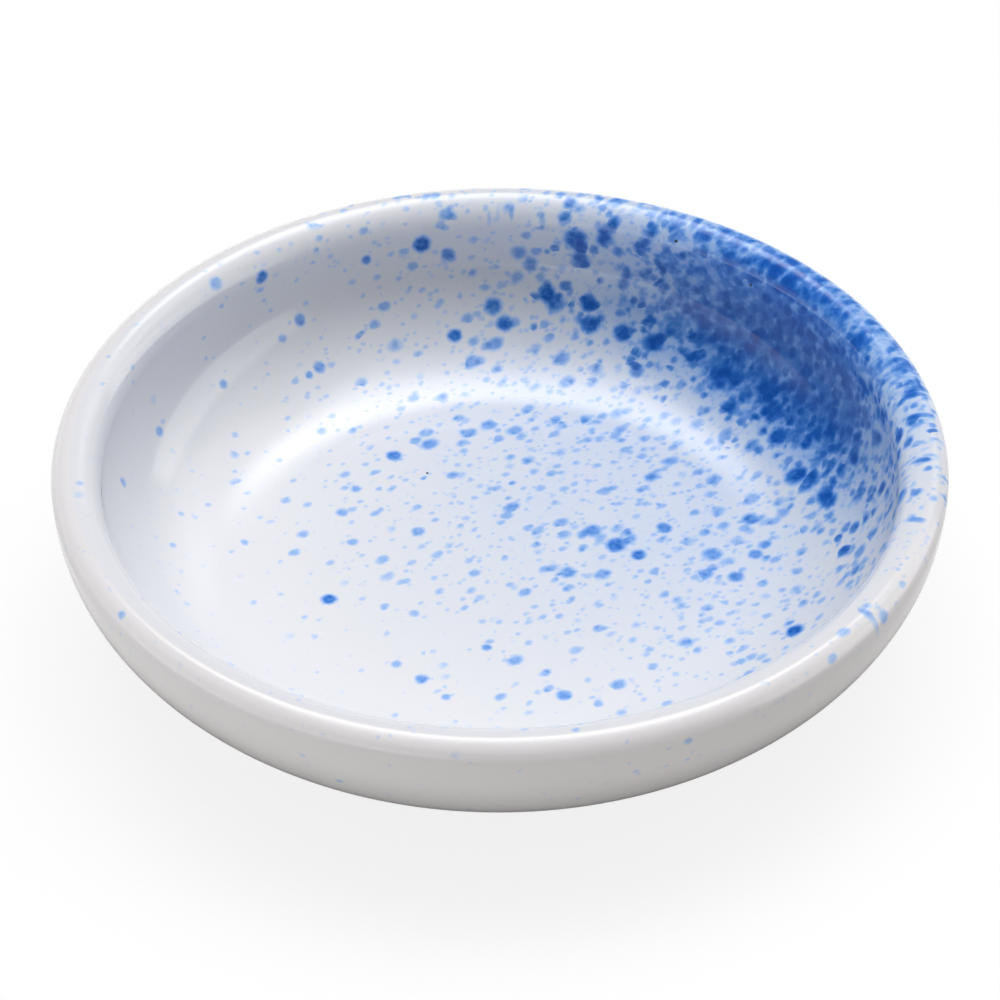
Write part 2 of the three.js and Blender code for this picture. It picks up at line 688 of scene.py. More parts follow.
@dataclass(frozen=True)
class PlainGlaze:
    """White glaze with the faint clouding of an uneven dip.

    Attributes:
        name, gloss: The material's name and its gloss.
        white, shade: The colours of the glaze and of its clouds.
        cloud_grain: The size of the clouds, in millimetres.
        cloud_from, cloud_full: The noise levels at which a cloud begins and is full.
    """

    name: str
    gloss: Gloss
    white: Colour
    shade: Colour
    cloud_grain: float = 12.0
    cloud_from: float = 0.35
    cloud_full: float = 0.75

    def material(self) -> bpy.types.Material:
        """The finish as a material.

        Returns:
            The new material.
        """
        material, graph = new_material(self.name)
        place = graph.millimetres()
        clouds = graph.signal(graph.noise(place, self.cloud_grain), "Fac")
        share = clouds.ramp(self.cloud_from, self.cloud_full)
        self.gloss.dress(graph, place, graph.blend(share, self.white, self.shade))
        return material


@dataclass(frozen=True)
class BareClay:
    """Fired clay that the glaze was wiped off: matt, fine-grained, with darker specks.

    Attributes:
        name: The material's name.
        clay, toasted, speck: The colours of the clay, of its browner patches and of its specks.
        level: How much it mirrors, where 0.5 is as much as common glass.
        roughness, roughness_spread: How matt it is, and how that changes with the grain.
        patch_grain, patch_from, patch_full: The size of the patches, in millimetres, and the noise levels at
            which they begin and are full.
        grain, grain_detail, grain_height: The fine grain of the surface, in millimetres.
        speck_cell, speck_radius: How far apart the specks lie and how large they are, in millimetres.
        speck_core, speck_depth: The share of a speck's radius that is darkest, and how dark that is.
    """

    name: str
    clay: Colour
    toasted: Colour
    speck: Colour
    level: float = 0.5
    roughness: float = 0.82
    roughness_spread: float = 0.1
    patch_grain: float = 6.0
    patch_from: float = 0.3
    patch_full: float = 0.7
    grain: float = 0.25
    grain_detail: float = 3.0
    grain_height: float = 0.03
    speck_cell: float = 1.1
    speck_radius: float = 0.12
    speck_core: float = 0.5
    speck_depth: float = 0.7

    def material(self) -> bpy.types.Material:
        """The finish as a material.

        Returns:
            The new material.
        """
        material, graph = new_material(self.name)
        place = graph.millimetres()
        patches = graph.signal(graph.noise(place, self.patch_grain), "Fac")
        fine = graph.signal(graph.noise(place, self.grain, self.grain_detail), "Fac")
        share = patches.ramp(self.patch_from, self.patch_full)
        body = graph.blend(share, self.clay, self.toasted)
        away = graph.signal(graph.cells(place, self.speck_cell), "Distance") * self.speck_cell
        specks = away.ramp(self.speck_radius, self.speck_core * self.speck_radius)
        colour = graph.blend(specks * self.speck_depth, body, self.speck)
        roughness = self.roughness + self.roughness_spread * fine
        graph.surface(colour, roughness, self.level, fine, self.grain_height)
        return material


@dataclass(frozen=True)
class ProfilePoint:
    """A point of the dish's half section, with the direction that its surface faces."""

    radius: float
    height: float
    out: float
    up: float


Line = Sequence[ProfilePoint]


@dataclass(frozen=True)
class Arc:
    """A stretch of an upright ellipse in the half section. Angles run from the outward direction upwards."""

    centre_radius: float
    centre_height: float
    radial: float
    upright: float
    start: float
    end: float
    steps: int
    facing: Facing = Facing.OUTWARD

    def points(self) -> Line:
        """The points of the stretch.

        Returns:
            The points from start to end, with their normals.
        """
        made = []
        for step in range(self.steps + 1):
            angle = self.start + (self.end - self.start) * step / self.steps
            out = math.cos(angle) / self.radial
            up = math.sin(angle) / self.upright
            length = math.hypot(out, up) * self.facing.value
            radius = self.centre_radius + self.radial * math.cos(angle)
            height = self.centre_height + self.upright * math.sin(angle)
            made.append(ProfilePoint(radius, height, out / length, up / length))
        return made


def straight(first: Tuple[float, float], last: Tuple[float, float], steps: int) -> Line:
    """A straight stretch of the half section. Its surface faces to the right of the way it runs.

    Args:
        first, last: Its ends, as radius and height.
        steps: How many parts it is cut into.

    Returns:
        The points from first to last, with their normals.
    """
    run = last[0] - first[0]
    rise = last[1] - first[1]
    length = math.hypot(run, rise)
    made = []
    for step in range(steps + 1):
        radius = first[0] + run * step / steps
        height = first[1] + rise * step / steps
        made.append(ProfilePoint(radius, height, rise / length, -run / length))
    return made


@dataclass(frozen=True)
class DishSection:
    """The half section of the dish, in metres. An inset moves a line into the material."""

    rim_radius: float
    crest_radius: float
    height: float
    bare_height: float
    lip_inner_radius: float = 4.3 * MM
    floor_radius: float = 36.0 * MM
    floor_height: float = 7.0 * MM
    foot_outer_radius: float = 32.0 * MM
    foot_width: float = 4.8 * MM
    foot_height: float = 2.6 * MM
    foot_fillet: float = 0.8 * MM
    recess_depth: float = 3.0 * MM
    bearing_edge: float = 0.6 * MM
    glaze: float = 0.45 * MM
    bond_gap: float = 0.05 * MM
    wall_steps: int = 72
    lip_steps: int = 32
    floor_steps: int = 24
    edge_steps: int = 8

    @classmethod
    def from_frame(cls) -> "DishSection":
        """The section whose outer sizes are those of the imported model.

        Returns:
            The section.
        """
        wall_low, wall_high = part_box(CadNode.WALL_GLAZE.value)
        _, well_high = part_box(CadNode.WELL_GLAZE.value)
        return cls(wall_high.x, well_high.x, well_high.z, wall_low.z)

    @property
    def lip_outer_radius(self) -> float:
        """The lip's roundness from its crest to the outside wall."""
        return self.rim_radius - self.crest_radius

    @property
    def widest_height(self) -> float:
        """How high the dish is widest."""
        return self.height - self.lip_outer_radius

    @property
    def clay_inset(self) -> float:
        """How far the clay lies under the glazed surface."""
        return self.glaze + self.bond_gap

    @property
    def foot_inner_radius(self) -> float:
        """The inner side of the foot ring."""
        return self.foot_outer_radius - self.foot_width

    def well_line(self, inset: float) -> Line:
        """The inside of the dish.

        Args:
            inset: How far the line lies in the material.

        Returns:
            The points from the crest of the lip to the middle of the well.
        """
        lip_foot = self.height - self.lip_inner_radius
        lip = self.lip_inner_radius - inset
        reach = self.crest_radius - self.lip_inner_radius - self.floor_radius + inset
        drop = lip_foot - self.floor_height + inset
        floor = self.floor_height - inset
        roll = Arc(self.crest_radius, lip_foot, lip, lip, QUARTER, 2 * QUARTER, self.lip_steps)
        wall = Arc(self.floor_radius, lip_foot, reach, drop, 0.0, -QUARTER, self.wall_steps, Facing.INWARD)
        flat = straight((self.floor_radius, floor), (0.0, floor), self.floor_steps)
        return [*roll.points(), *wall.points()[1:], *flat[1:]]

    def outside_line(self, inset: float, start_height: float) -> Line:
        """The outside of the dish.

        Args:
            inset: How far the line lies in the material.
            start_height: How high up the foot ring it starts.

        Returns:
            The points from the side of the foot ring to the crest of the lip.
        """
        centre = self.foot_outer_radius + self.foot_fillet
        reach = self.rim_radius - centre - inset
        drop = self.widest_height - self.foot_height - inset
        fillet = self.foot_fillet + inset
        fillet_height = self.foot_height - self.foot_fillet
        lip = self.lip_outer_radius - inset
        side = self.foot_outer_radius - inset
        upright = straight((side, start_height), (side, fillet_height), self.edge_steps)
        hollow = Arc(
            centre, fillet_height, fillet, fillet, 2 * QUARTER, QUARTER, self.edge_steps, Facing.INWARD
        )
        belly = Arc(centre, self.widest_height, reach, drop, -QUARTER, 0.0, self.wall_steps)
        roll = Arc(self.crest_radius, self.widest_height, lip, lip, 0.0, QUARTER, self.lip_steps)
        return [*upright, *hollow.points()[1:], *belly.points()[1:], *roll.points()[1:]]

    def recess_line(self, inset: float, end_height: float) -> Line:
        """The underside inside the foot ring.

        Args:
            inset: How far the line lies in the material.
            end_height: How high up the foot ring it ends.

        Returns:
            The points from the middle to the inner side of the ring.
        """
        centre = self.foot_inner_radius - self.foot_fillet
        fillet = self.foot_fillet + inset
        fillet_height = self.recess_depth - self.foot_fillet
        roof = self.recess_depth + inset
        side = self.foot_inner_radius + inset
        flat = straight((0.0, roof), (centre, roof), self.floor_steps)
        hollow = Arc(centre, fillet_height, fillet, fillet, QUARTER, 0.0, self.edge_steps, Facing.INWARD)
        upright = straight((side, fillet_height), (side, end_height), self.edge_steps)
        return [*flat, *hollow.points()[1:], *upright[1:]]

    def bearing_line(self) -> Line:
        """The bare bearing face of the foot ring and its two rounded edges.

        Returns:
            The points from the inner side of the ring to its outer side.
        """
        edge = self.bearing_edge
        inner = self.foot_inner_radius + self.clay_inset + edge
        outer = self.foot_outer_radius - self.clay_inset - edge
        inner_edge = Arc(inner, edge, edge, edge, 2 * QUARTER, 3 * QUARTER, self.edge_steps)
        outer_edge = Arc(outer, edge, edge, edge, 3 * QUARTER, 4 * QUARTER, self.edge_steps)
        face = straight((inner, 0.0), (outer, 0.0), self.edge_steps)
        return [*inner_edge.points(), *face[1:], *outer_edge.points()[1:]]

    def bead(self, radius: float, facing_out: bool) -> Line:
        """The rounded edge in which a coat ends on the side of the foot ring.

        Args:
            radius: Where the glazed face of the coat stands.
            facing_out: Whether that face looks away from the dish's axis.

        Returns:
            The points under the edge, from its side nearer the axis to its other side.
        """
        half = self.glaze / 2
        centre = radius - half if facing_out else radius + half
        return Arc(centre, self.bare_height + half, half, half, -2 * QUARTER, 0.0, self.edge_steps).points()

    def over_surface(self, along: float) -> Tuple[float, float]:
        """The place that a walk from the middle of the well, up the wall and over the lip, comes to.

        Args:
            along: The length of the walk.

        Returns:
            The radius and the height there.
        """
        walk = [*reversed(self.well_line(0.0)), *reversed(self.outside_line(0.0, self.bare_height))]
        left = along
        for first, second in zip(walk, walk[1:]):
            step = math.hypot(second.radius - first.radius, second.height - first.height)
            if step > left:
                share = left / step
                radius = first.radius + (second.radius - first.radius) * share
                return radius, first.height + (second.height - first.height) * share
            left -= step
        return walk[-1].radius, walk[-1].height


@dataclass(frozen=True)
class UnrolledArea:
    """A round area of the flat map that a stretch of the profile is unrolled on to."""

    middle: float
    inner: float
    outer: float


MappedPoint = Tuple[ProfilePoint, float]
SAME_PLACE = 1e-4 * MM


class TurnedMesh:
    """A closed mesh turned from profile lines that follow on from each other round the material."""

    def __init__(self, name: str, segments: int) -> None:
        """Starts an empty mesh.

        Args:
            name: Its name.
            segments: How many parts it is cut into round the axis.
        """
        self.name = name
        self.segments = segments
        self.turns = [2 * math.pi * k / segments for k in range(segments + 1)]
        self.rings: dict[Tuple[int, int], list[int]] = {}
        self.places: list[Triple] = []
        self.faces: list[list[int]] = []
        self.normals: list[Triple] = []
        self.flat: list[Tuple[float, float]] = []

    def _ring(self, point: ProfilePoint) -> list[int]:
        """The ring of vertices that a point is turned into, shared by lines that meet there.

        Args:
            point: The point.

        Returns:
            The number of the vertex at each turn.
        """
        key = (round(point.radius / SAME_PLACE), round(point.height / SAME_PLACE))
        if key not in self.rings:
            count = self.segments if key[0] else 1
            start = len(self.places)
            for turn in self.turns[:count]:
                right = point.radius * math.cos(turn)
                back = point.radius * math.sin(turn)
                self.places.append((right, back, point.height))
            self.rings[key] = [start + k % count for k in range(self.segments + 1)]
        return self.rings[key]

    def _band(self, first: MappedPoint, second: MappedPoint, middle: float) -> None:
        """Adds the faces between two points of a line.

        Args:
            first, second: The points, each with its radius on the flat map.
            middle: The middle of their area of the flat map.
        """
        ring_a = self._ring(first[0])
        ring_b = self._ring(second[0])
        for k in range(self.segments):
            face: list[int] = []
            edge_a = ((ring_a, first, k), (ring_a, first, k + 1))
            edge_b = ((ring_b, second, k + 1), (ring_b, second, k))
            for ring, (point, flat_radius), step in edge_a + edge_b:
                if ring[step] in face:
                    continue
                face.append(ring[step])
                cosine = math.cos(self.turns[step])
                sine = math.sin(self.turns[step])
                self.normals.append((point.out * cosine, point.out * sine, point.up))
                self.flat.append((middle + flat_radius * cosine, middle + flat_radius * sine))
            self.faces.append(face)

    def add(self, line: Line, area: UnrolledArea) -> None:
        """Adds the next profile line.

        Args:
            line: The line.
            area: The area of the flat map that it fills from its start to its end.
        """
        along = [0.0]
        for first, second in zip(line, line[1:]):
            along.append(along[-1] + math.hypot(second.radius - first.radius, second.height - first.height))
        mapped = []
        for point, distance in zip(line, along):
            mapped.append((point, area.inner + (area.outer - area.inner) * distance / along[-1]))
        for first_mapped, second_mapped in zip(mapped, mapped[1:]):
            self._band(first_mapped, second_mapped, area.middle)

    def build(self) -> bpy.types.Object:
        """Makes the mesh object.

        Returns:
            The object, linked to the scene, with its normals and its flat map.
        """
        mesh = bpy.data.meshes.new(self.name)
        mesh.from_pydata(self.places, [], self.faces)
        mesh.polygons.foreach_set("use_smooth", [True] * len(mesh.polygons))
        layer = mesh.uv_layers.new(name=BAKE_MAP)
        for corner, spot in zip(layer.data, self.flat):
            corner.uv = spot
        mesh.normals_split_custom_set(self.normals)
        mesh.update()
        made = bpy.data.objects.new(self.name, mesh)
        bpy.context.scene.collection.objects.link(made)
        return made


def settle(piece: bpy.types.Object, node: CadNode, material: bpy.types.Material) -> None:
    """Dresses a piece and sets it in the place of its solid.

    Args:
        piece: The dressed mesh.
        node: The solid that it stands for.
        material: The finish.
    """
    piece.data.materials.append(material)
    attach(piece, BODY)
    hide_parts(node.value)
    log.info("%s: %d faces, finish %s", piece.name, len(piece.data.polygons), material.name)


# The flat map, one unit wide: what shows fills the middle, and what lies hidden is kept small.
WHOLE_AREA = UnrolledArea(0.5, 0.0, 0.488)
WELL_FACE_AREA = UnrolledArea(0.5, 0.488, 0.0)
WALL_FACE_AREA = UnrolledArea(0.5, 0.19, 0.488)
WALL_CREST_AREA = UnrolledArea(0.5, 0.17, 0.16)
WALL_BACK_AREA = UnrolledArea(0.5, 0.16, 0.07)
WALL_BEAD_AREA = UnrolledArea(0.5, 0.06, 0.03)
CORNER_AREA = UnrolledArea(0.072, 0.0, 0.0594)
CORNER_EDGE_AREA = UnrolledArea(0.072, 0.0594, 0.066)
FOOT_BEAD_AREA = UnrolledArea(0.072, 0.066, 0.0594)
FOOT_BACK_AREA = UnrolledArea(0.072, 0.0594, 0.0)


@dataclass
class GlazeCoats:
    """The three coats of glaze that lie on the clay."""

    section: DishSection
    segments: int = 320

    def well(self, finish: SpatterGlaze) -> bpy.types.Object:
        """The coat in the well, from the crest of the lip to the middle.

        Args:
            finish: Its finish.

        Returns:
            The dressed piece.
        """
        face = self.section.well_line(0.0)
        back = list(reversed(turned_away(self.section.well_line(self.section.glaze))))
        shell = TurnedMesh("well_coat", self.segments)
        shell.add(face, WELL_FACE_AREA)
        shell.add(back, CORNER_AREA)
        shell.add(cap(back[-1], face[0]), CORNER_EDGE_AREA)
        piece = shell.build()
        settle(piece, CadNode.WELL_GLAZE, finish.material())
        return piece

    def wall(self, finish: SpatterGlaze) -> bpy.types.Object:
        """The coat on the outside wall, from the foot ring to the crest of the lip.

        Args:
            finish: Its finish.

        Returns:
            The dressed piece.
        """
        section = self.section
        half = section.glaze / 2
        face = section.outside_line(0.0, section.bare_height + half)
        back_line = section.outside_line(section.glaze, section.bare_height + half)
        back = list(reversed(turned_away(back_line)))
        shell = TurnedMesh("wall_coat", self.segments)
        shell.add(face, WALL_FACE_AREA)
        shell.add(cap(face[-1], back[0]), WALL_CREST_AREA)
        shell.add(back, WALL_BACK_AREA)
        shell.add(section.bead(section.foot_outer_radius, True), WALL_BEAD_AREA)
        piece = shell.build()
        settle(piece, CadNode.WALL_GLAZE, finish.material())
        return piece

    def foot(self, finish: PlainGlaze) -> bpy.types.Object:
        """The coat on the underside, inside the foot ring.

        Args:
            finish: Its finish.

        Returns:
            The dressed piece.
        """
        section = self.section
        half = section.glaze / 2
        face = section.recess_line(0.0, section.bare_height + half)
        back_line = section.recess_line(section.glaze, section.bare_height + half)
        back = list(reversed(turned_away(back_line)))
        shell = TurnedMesh("foot_coat", self.segments)
        shell.add(face, WHOLE_AREA)
        shell.add(section.bead(section.foot_inner_radius, False), FOOT_BEAD_AREA)
        shell.add(back, FOOT_BACK_AREA)
        piece = shell.build()
        settle(piece, CadNode.FOOT_GLAZE, finish.material())
        return piece


def turned_away(line: Line) -> Line:
    """A line whose surface faces the other way."""
    return [ProfilePoint(p.radius, p.height, -p.out, -p.up) for p in line]


def cap(first: ProfilePoint, last: ProfilePoint) -> Line:
    """The flat edge between the two sides of a coat."""
    return straight((first.radius, first.height), (last.radius, last.height), 1)


@dataclass
class ClayBody:
    """The turned and fired clay under the glaze, bare only along the foot ring's bearing edge."""

    section: DishSection
    segments: int = 256

    def build(self, finish: BareClay) -> bpy.types.Object:
        """Makes the clay.

        Args:
            finish: Its finish.

        Returns:
            The dressed piece.
        """
        section = self.section
        inset = section.clay_inset
        line = [
            *section.recess_line(inset, section.bearing_edge),
            *section.bearing_line()[1:],
            *section.outside_line(inset, section.bearing_edge)[1:],
            *section.well_line(inset)[1:],
        ]
        body = TurnedMesh("clay_core", self.segments)
        body.add(line, WHOLE_AREA)
        piece = body.build()
        settle(piece, CadNode.CLAY_BODY, finish.material())
        return piece


# How far a direction has to run towards a panel to see it at all, and to see all of it.
LEAST_AHEAD = 0.02
FULLY_AHEAD = 0.06


@dataclass(frozen=True)
class Softbox:
    """A bright soft-edged panel in the studio's surroundings. Angles are in degrees.

    Attributes:
        bearing: Its direction from the dish's right, anticlockwise seen from above.
        rise: Its height over the horizon.
        half_width, half_height: How far its full brightness reaches from its middle.
        soft: How much further out it has faded away.
        strength: Its brightness as a light, where 1 is white.
        gleam: Its brightness in the dish's gloss.
    """

    bearing: float
    rise: float
    half_width: float
    half_height: float
    soft: float
    strength: float
    gleam: float

    def axes(self) -> Tuple[Vector, Vector, Vector]:
        """The directions that its light is measured by.

        Returns:
            The ways to its middle, along its width and up its height.
        """
        bearing = math.radians(self.bearing)
        rise = math.radians(self.rise)
        flat = math.cos(rise)
        middle = Vector((flat * math.cos(bearing), flat * math.sin(bearing), math.sin(rise)))
        across = Vector((-math.sin(bearing), math.cos(bearing), 0.0))
        return middle, across, middle.cross(across)

    def glow(self, graph: Graph, way: Input, mirrored: Signal) -> Signal:
        """How much it adds to the light from each way.

        Args:
            graph: The world's graph.
            way: The direction looked in.
            mirrored: One for rays mirrored in a gloss.

        Returns:
            Its brightness there.
        """
        middle, across, upward = self.axes()
        ahead = graph.along(way, middle)
        level = self.strength + (self.gleam - self.strength) * mirrored
        shade = ahead.ramp(LEAST_AHEAD, FULLY_AHEAD) * level
        for axis, half in ((across, self.half_width), (upward, self.half_height)):
            off = (graph.along(way, axis) / ahead.at_least(LEAST_AHEAD)).size()
            full = math.tan(math.radians(half))
            gone = math.tan(math.radians(half + self.soft))
            shade = shade * off.ramp(gone, full)
        return shade


@dataclass
class Studio:
    """The white floor and the soft light round the dish.

    Attributes:
        softboxes: The bright panels.
        ambient: The even light from everywhere else, where 1 is white.
        floor_radius, floor_segments: The floor's size, in metres, and the sides of its edge.
        floor_white: Its colour as it is seen.
        floor_bounce, floor_shade: The colours that light the dish, from the open floor and from beside it;
            the
        darker one beside the dish is a painted contact shadow.
        floor_glow: How much of its white shows whatever the light, so that a shadow takes the rest.
        shade_within, shade_beyond: Where the painted shadow on the floor ends and the open floor begins, in
            millimetres.
        rim_shade_within, rim_shade_beyond: The same for what the dish's gloss mirrors, where the floor's
            glow is dimmed round the dish as a painted shadow.
        backdrop_rise, backdrop_end: How far up the gloss mirrors the white behind the floor, in degrees.
    """

    softboxes: Sequence[Softbox]
    ambient: float = 0.05
    floor_radius: float = 3.0
    floor_segments: int = 96
    floor_white: Colour = screen_colour(252, 252, 252)
    floor_bounce: Colour = screen_colour(212, 209, 205)
    floor_shade: Colour = screen_colour(116, 114, 111)
    floor_glow: float = 0.85
    shade_within: float = 50.0
    shade_beyond: float = 110.0
    rim_shade_within: float = 62.0
    rim_shade_beyond: float = 82.0
    backdrop_rise: float = 4.0
    backdrop_end: float = 10.0

    def floor(self) -> bpy.types.Object:
        """The floor: a round sheet at the height that the dish stands on.

        Returns:
            The floor.
        """
        rim = []
        for k in range(self.floor_segments):
            turn = 2 * math.pi * k / self.floor_segments
            rim.append((self.floor_radius * math.cos(turn), self.floor_radius * math.sin(turn), 0.0))
        mesh = bpy.data.meshes.new("studio_floor")
        mesh.from_pydata(rim, [], [list(range(self.floor_segments))])
        made = bpy.data.objects.new("studio_floor", mesh)
        bpy.context.scene.collection.objects.link(made)
        material, graph = new_material("white_floor")
        straight_on, mirrored = self._seen(graph)
        outwards = graph.distance(graph.millimetres(), ORIGIN)
        # Painted contact shadow: the floor's colour for light bounced on to the dish darkens towards the
        # dish.
        lit = outwards.ramp(self.shade_within, self.shade_beyond)
        bounce = graph.blend(lit, self.floor_shade, self.floor_bounce)
        sheet = graph.blend(straight_on.at_least(mirrored), bounce, self.floor_white)
        diffuse = graph.node("ShaderNodeBsdfDiffuse", {}, {"Color": sheet})
        glow = graph.node("ShaderNodeEmission", {}, {"Strength": 1.0})
        # Painted shadow in the gloss: the floor's white glow fades out round the dish in what the dish
        # mirrors.
        beside = outwards.ramp(self.rim_shade_within, self.rim_shade_beyond)
        share = straight_on.at_least(mirrored * beside) * self.floor_glow
        inputs = {0: share, 1: diffuse.outputs[0], 2: glow.outputs[0]}
        mixed = graph.node("ShaderNodeMixShader", {}, inputs)
        graph.node("ShaderNodeOutputMaterial", {}, {"Surface": mixed.outputs[0]})
        mesh.materials.append(material)
        log.info("%s: radius %.1f m", made.name, self.floor_radius)
        return made

    @staticmethod
    def _seen(graph: Graph) -> Tuple[Signal, Signal]:
        """Which rays show the background itself.

        Args:
            graph: The graph that asks.

        Returns:
            One for rays that come straight on or through glass, and one for rays mirrored in a gloss.
        """
        path = graph.node("ShaderNodeLightPath", {}, {})
        camera = graph.signal(path, "Is Camera Ray")
        straight_on = camera.at_least(graph.signal(path, "Is Transmission Ray"))
        return straight_on, graph.signal(path, "Is Glossy Ray")

    def light(self) -> None:
        """Lights the dish from a surrounding of soft patches, which shows as white behind it."""
        world = bpy.data.worlds.new("studio_light")
        world.use_nodes = True
        bpy.context.scene.world = world
        graph = Graph(world.node_tree)
        way = graph.node("ShaderNodeTexCoord", {}, {}).outputs["Generated"]
        straight_on, mirrored = self._seen(graph)
        low = math.sin(math.radians(self.backdrop_rise))
        high = math.sin(math.radians(self.backdrop_end))
        backdrop = graph.along(way, UPWARD).ramp(high, low)
        seen = straight_on.at_least(mirrored * backdrop)
        strength = self.ambient + (1.0 - self.ambient) * seen
        for softbox in self.softboxes:
            strength = strength + softbox.glow(graph, way, mirrored) * (1.0 - straight_on)
        background = graph.node("ShaderNodeBackground", {}, {"Color": WHITE, "Strength": strength})
        graph.node("ShaderNodeOutputWorld", {}, {"Surface": background.outputs[0]})
        log.info("studio light: %d soft patches", len(self.softboxes))


@dataclass(frozen=True)
class PhotoCamera:
    """The camera, at the photograph's viewing angle. Angles are in degrees, lengths in metres."""

    aim_height: float = 19.0 * MM
    elevation: float = 40.0
    distance: float = 590.2 * MM
    roll: float = -0.31
    lens_mm: float = 144.9
    sensor_mm: float = 36.0
    clip_start: float = 10.0 * MM

    def place(self) -> bpy.types.Object:
        """Makes the camera and gives it to the scene.

        Returns:
            The camera.
        """
        rise = math.radians(self.elevation)
        back = Vector((0.0, -math.cos(rise), math.sin(rise)))
        across = Vector((1.0, 0.0, 0.0))
        frame_axes = Matrix((across, back.cross(across), back)).transposed()
        turned = frame_axes @ Matrix.Rotation(math.radians(self.roll), 3, "Z")
        data = bpy.data.cameras.new("photo_camera")
        data.lens = self.lens_mm
        data.sensor_width = self.sensor_mm
        data.sensor_fit = "HORIZONTAL"
        data.clip_start = self.clip_start
        made = bpy.data.objects.new("photo_camera", data)
        spot = Vector((0.0, 0.0, self.aim_height)) + back * self.distance
        made.matrix_world = Matrix.Translation(spot) @ turned.to_4x4()
        bpy.context.scene.collection.objects.link(made)
        bpy.context.scene.camera = made
        log.info("camera: %.1f mm lens, %.0f mm away", self.lens_mm, self.distance / MM)
        return made


# The well's white is bluer than the outside's: partly faint blue mist, partly painted blue bounce light.
WELL_WHITE = screen_colour(228, 229, 234)
WALL_WHITE = screen_colour(231, 229, 231)
CLOUD_WHITE = screen_colour(225, 223, 225)
CLAY = screen_colour(214, 205, 190)
TOASTED_CLAY = screen_colour(200, 184, 162)
CLAY_SPECK = screen_colour(150, 126, 100)

BLUES = (
    (0.15, screen_colour(196, 213, 241)),
    (0.32, screen_colour(159, 191, 238)),
    (0.5, screen_colour(115, 162, 231)),
    (0.68, screen_colour(72, 130, 212)),
    (0.85, screen_colour(38, 102, 194)),
    (1.0, screen_colour(15, 80, 172)),
)

IRON = screen_colour(38, 38, 48)

CORE = (
    DropGrade(4.2, 1.0, 1.6, 0.45, 0.75, 6.0, 60.0, 1.3, 0.0),
    DropGrade(2.2, 0.6, 1.05, 0.4, 0.75, 8.0, 62.0, 1.2, 0.0),
    DropGrade(1.7, 0.4, 0.75, 0.35, 0.65, 8.0, 64.0, 1.2, 0.0),
)

FIELD = (
    DropGrade(3.4, 0.6, 1.1, 0.22, 0.5, 24.0, 92.0, 1.5, 0.02),
    DropGrade(2.3, 0.4, 0.75, 0.18, 0.38, 28.0, 98.0, 1.2, 0.05),
    DropGrade(1.7, 0.28, 0.5, 0.13, 0.28, 28.0, 100.0, 1.1, 0.06),
    DropGrade(1.3, 0.2, 0.34, 0.1, 0.22, 28.0, 100.0, 1.1, 0.05),
)

STREAK = DropGrade(1.9, 0.3, 0.7, 0.2, 0.55, 26.0, 80.0, 1.1, 0.03)

SPLASHES = (
    Splash(26.5, 198.0, 2.1, 0.72),
    Splash(29.8, 123.0, 2.2, 0.6),
    Splash(17.6, 12.0, 2.8, 0.7),
    Splash(20.6, 4.0, 2.2, 0.68),
    Splash(46.5, 337.0, 2.6, 0.8),
    Splash(53.5, 335.0, 2.4, 0.85),
    Splash(28.0, 246.0, 1.8, 0.52),
    Splash(30.5, 287.0, 2.0, 0.52),
    Splash(66.2, 102.0, 2.6, 0.85),
    Splash(67.0, 78.0, 3.4, 0.8),
    Splash(68.5, 129.0, 2.0, 0.72),
    Splash(65.2, 111.0, 1.5, 0.58),
    Splash(64.0, 98.0, 2.0, 0.58),
    Splash(59.0, 124.0, 1.8, 0.55),
    Splash(57.5, 128.0, 1.3, 0.36),
    Splash(51.0, 124.0, 1.8, 0.52),
    Splash(50.5, 126.5, 1.2, 0.44),
    Splash(56.0, 142.0, 1.3, 0.46),
    Splash(58.0, 159.0, 1.5, 0.34),
    Splash(50.8, 98.0, 2.1, 0.75),
    Splash(55.2, 91.0, 2.6, 0.65),
    Splash(52.5, 89.0, 2.4, 0.75),
    Splash(57.5, 82.0, 2.6, 0.8),
    Splash(56.8, 75.0, 2.5, 0.8),
    Splash(53.5, 74.0, 2.6, 0.8),
    Splash(53.2, 68.0, 2.7, 0.8),
    Splash(53.0, 62.0, 2.8, 0.8),
    Splash(47.8, 63.0, 2.2, 0.6),
    Splash(52.2, 48.0, 3.0, 0.75),
    Splash(49.8, 30.0, 3.0, 0.75),
    Splash(48.0, 20.0, 3.2, 0.8),
    Splash(50.8, 10.0, 2.8, 0.75),
    Splash(50.8, 0.0, 1.4, 0.7),
    Splash(35.0, 354.0, 2.2, 0.58),
    Splash(38.0, 2.0, 2.0, 0.52),
    Splash(38.8, 14.0, 2.3, 0.58),
    Splash(25.8, 17.0, 2.1, 0.56),
    Splash(15.5, 27.0, 2.6, 0.5),
    Splash(10.2, 346.0, 2.4, 0.46),
    Splash(27.8, 142.0, 1.5, 0.38),
    Splash(26.5, 154.0, 1.7, 0.4),
    Splash(35.5, 156.0, 1.4, 0.32),
    Splash(38.5, 173.0, 1.2, 0.33),
    Splash(22.5, 168.0, 1.5, 0.36),
    Splash(14.2, 150.0, 1.9, 0.4),
    Splash(14.5, 197.0, 1.2, 0.3),
    Splash(17.0, 222.0, 1.4, 0.3),
    Splash(19.0, 264.0, 1.3, 0.5),
    Splash(27.0, 236.0, 1.5, 0.35),
    Splash(30.5, 255.0, 1.3, 0.38),
    Splash(34.0, 294.0, 1.3, 0.34),
    Splash(71.2, 137.0, 2.0, 0.34),
    Splash(76.5, 215.0, 1.2, 0.28),
    Splash(77.5, 325.0, 1.8, 0.34),
)

SPECKS = (
    Splash(70.2, 62.0, 0.5),
    Splash(68.0, 48.0, 0.5),
    Splash(23.5, 118.0, 0.4),
)

# The single drops further out than this, over the surface, reach the outside coat as well.
OUTSIDE_FROM = 70.0

# How much further from the spray a place counts for each millimetre below the lip, inside and outside.
WELL_LEE = 0.0
WALL_LEE = 7.0

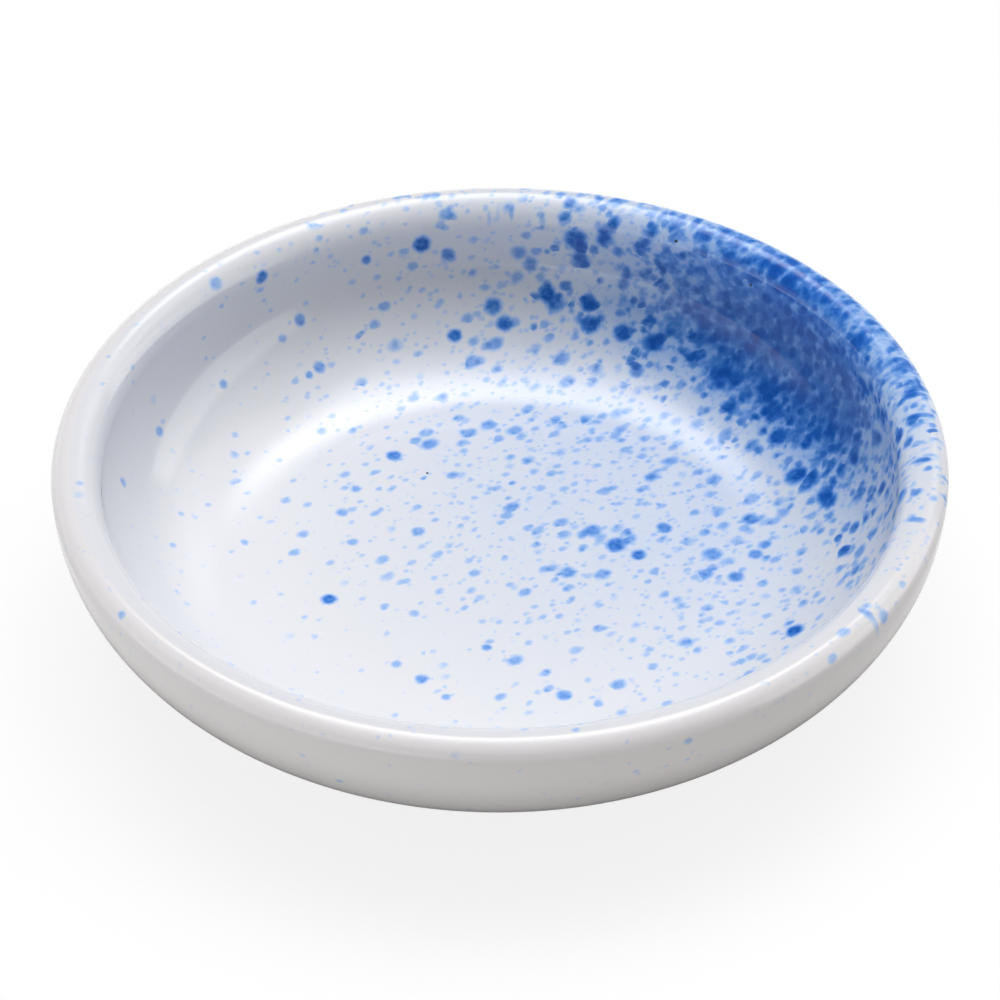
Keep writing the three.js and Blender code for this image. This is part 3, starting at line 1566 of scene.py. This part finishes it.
SOFTBOXES = (
    Softbox(92.0, 66.0, 12.0, 8.0, 14.0, 2.9, 2.6),
    Softbox(92.0, 84.0, 16.0, 7.0, 8.0, 2.2, 1.8),
    Softbox(52.0, 62.0, 8.0, 8.0, 12.0, 2.4, 0.5),
    Softbox(132.0, 62.0, 8.0, 8.0, 12.0, 1.4, 0.0),
    Softbox(172.0, 66.0, 12.0, 10.0, 10.0, 0.8, 0.0),
    Softbox(89.0, 60.0, 8.0, 4.0, 15.0, 0.0, 5.4),
    Softbox(50.0, 42.0, 12.0, 10.0, 10.0, 0.0, 0.9),
    Softbox(270.0, 72.0, 30.0, 18.0, 14.0, 0.1, 0.1),
    Softbox(15.0, 55.0, 14.0, 12.0, 10.0, 1.0, 0.4),
    Softbox(30.0, 30.0, 34.0, 10.0, 8.0, 0.6, 0.6),
    Softbox(2.0, 13.0, 30.0, 13.0, 5.0, 0.1, 2.4),
    Softbox(190.0, 2.0, 35.0, 2.0, 2.0, 5.5, 0.6),
    Softbox(255.0, 3.0, 32.0, 3.0, 3.0, 4.2, 1.2),
    Softbox(216.0, 6.0, 28.0, 2.0, 28.0, 0.0, 1.8),
)


def spatter_glaze(
    name: str, section: DishSection, white: Colour, splashes: Sequence[Splash], lee: float
) -> SpatterGlaze:
    """The spattered finish of one coat.

    Args:
        name: The material's name.
        section: The dish's section, for the places of the single drops.
        white: The colour of the bare glaze.
        splashes: The single drops on this coat.
        lee: How much further from the spray a place counts for each millimetre below the lip.

    Returns:
        The finish.
    """
    blues = ((0.0, white), *BLUES)
    drops = [(splash.place(section), splash.across / 2, splash.depth) for splash in splashes]
    specks = [(speck.place(section), speck.across / 2) for speck in SPECKS]
    crest_radius = section.crest_radius * MM_PER_METRE
    lip_height = section.height * MM_PER_METRE
    grades = (CORE, FIELD, STREAK)
    lip = (crest_radius, lip_height)
    return SpatterGlaze(name, Gloss(), Spray(), blues, IRON, *grades, drops, specks, *lip, lee)


def main() -> None:
    """Builds the camera, the dish's pieces and the studio, in that order."""
    logging.basicConfig(level=logging.INFO, format="%(name)s: %(message)s")
    bpy.context.scene.view_settings.view_transform = "Standard"
    PhotoCamera().place()
    section = DishSection.from_frame()
    outside = [splash for splash in SPLASHES if splash.along > OUTSIDE_FROM]
    ClayBody(section).build(BareClay("bare_clay", CLAY, TOASTED_CLAY, CLAY_SPECK))
    coats = GlazeCoats(section)
    coats.well(spatter_glaze("blue_spatter_glaze", section, WELL_WHITE, SPLASHES, WELL_LEE))
    coats.wall(spatter_glaze("blue_fleck_glaze", section, WALL_WHITE, outside, WALL_LEE))
    coats.foot(PlainGlaze("plain_white_glaze", Gloss(), WALL_WHITE, CLOUD_WHITE))
    studio = Studio(SOFTBOXES)
    studio.floor()
    studio.light()


if __name__ == "__main__":
    main()
